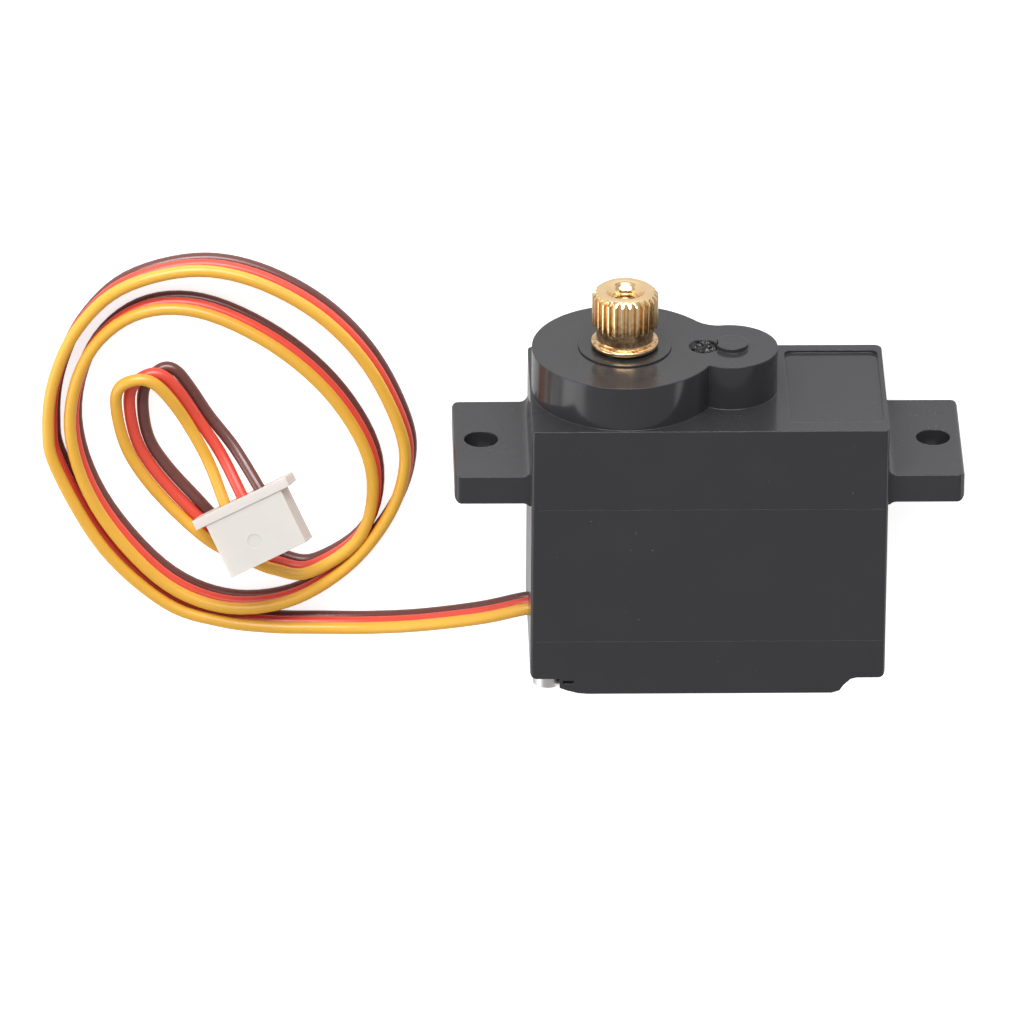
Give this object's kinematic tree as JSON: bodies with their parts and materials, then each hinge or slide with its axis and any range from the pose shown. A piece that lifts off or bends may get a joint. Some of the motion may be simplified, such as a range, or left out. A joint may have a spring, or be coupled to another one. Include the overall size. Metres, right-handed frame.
{
  "type": "micro servo motor",
  "caption": "Micro servo motor lying on its back: glossy black screwed case with mounting ears, brass splined output, internal gear train, and a ribbon lead with a white plug.",
  "frame": {"origin": "centre of the servo's outline at the table, without its lead", "axes": "+X from ear to ear, +Y along the output axis towards the spline, +Z out of the broad face away from the table"},
  "size_m": [0.059, 0.0268, 0.0122],
  "materials": {
    "case_black": "glossy",
    "steel": "polished",
    "bushing_black": "satin",
    "brass": "polished",
    "gear_plastic": "satin",
    "can_steel": "satin",
    "cap_plastic": "satin",
    "bronze": "matt",
    "magnet": "matt",
    "lamination": "satin",
    "copper_wire": "glossy",
    "copper": "polished",
    "tin": "satin",
    "pot_green": "matt",
    "pot_tan": "matt",
    "carbon": "matt",
    "white_acetal": "satin",
    "board_green": "satin",
    "chip_black": "matt",
    "ceramic_tan": "matt",
    "solder": "glossy",
    "wire_red_fine": "satin",
    "wire_blue_fine": "satin",
    "wire_yellow": "satin",
    "wire_red": "satin",
    "wire_brown": "satin",
    "nylon": "satin"
  },
  "bodies": {
    "housing": {"top_case": "case_black", "middle_case": "case_black", "bottom_cover": "case_black", "case_screws": "steel", "output_bushing": "bushing_black", "gear_arbor": "steel", "motor_can": "can_steel", "motor_end_cap": "cap_plastic", "motor_bearings": "bronze", "motor_magnets": "magnet", "motor_brushes": "bronze", "motor_terminals": "tin", "pot_body": "pot_green", "pot_cover": "pot_tan", "pot_track": "carbon", "pot_terminals": "tin", "control_board": "board_green", "controller_chip": "chip_black", "driver_chips": "chip_black", "board_capacitors": "ceramic_tan", "board_resistors": "chip_black", "solder_joints": "solder", "motor_lead_a": "wire_red_fine", "motor_lead_b": "wire_blue_fine", "lead_yellow": "wire_yellow", "lead_red": "wire_red", "lead_brown": "wire_brown", "connector_housing": "nylon", "connector_contacts": "tin"},
    "output": {"output_gear": "brass", "pot_shaft": "white_acetal", "pot_wiper": "tin"},
    "third_gear": {"third_gear": "brass"},
    "second_gear": {"second_gear": "brass"},
    "first_gear": {"first_gear": "gear_plastic"},
    "rotor": {"motor_pinion": "brass", "motor_shaft": "steel", "armature_core": "lamination", "armature_windings": "copper_wire", "commutator": "copper"}
  },
  "joints": [
    {"name": "output_turn", "type": "hinge", "parent": "housing", "child": "output", "pos_m": [-0.00535, 0, 0.0061], "axis": [0, 1, 0], "range_deg": [-90, 90]},
    {"name": "third_gear_turn", "type": "hinge", "parent": "housing", "child": "third_gear", "pos_m": [0.0014, 0, 0.0061], "axis": [0, 1, 0], "range_deg": [-199.3, 199.3]},
    {"name": "second_gear_turn", "type": "hinge", "parent": "housing", "child": "second_gear", "pos_m": [-0.00535, 0, 0.0061], "axis": [0, 1, 0], "range_deg": [-441.3, 441.3]},
    {"name": "first_gear_turn", "type": "hinge", "parent": "housing", "child": "first_gear", "pos_m": [0.0014, 0, 0.0061], "axis": [0, 1, 0], "range_deg": [-977.2, 977.2]},
    {"name": "rotor_turn", "type": "hinge", "parent": "housing", "child": "rotor", "pos_m": [0.0064, 0, 0.0061], "axis": [0, 1, 0], "range_deg": [-2931.4, 2931.4]}
  ],
  "couplings": [
    {"joint": "third_gear_turn", "follows": "output_turn", "ratio": -2.2143},
    {"joint": "second_gear_turn", "follows": "output_turn", "ratio": 4.9031},
    {"joint": "first_gear_turn", "follows": "output_turn", "ratio": -10.857},
    {"joint": "rotor_turn", "follows": "output_turn", "ratio": 32.57}
  ]
}
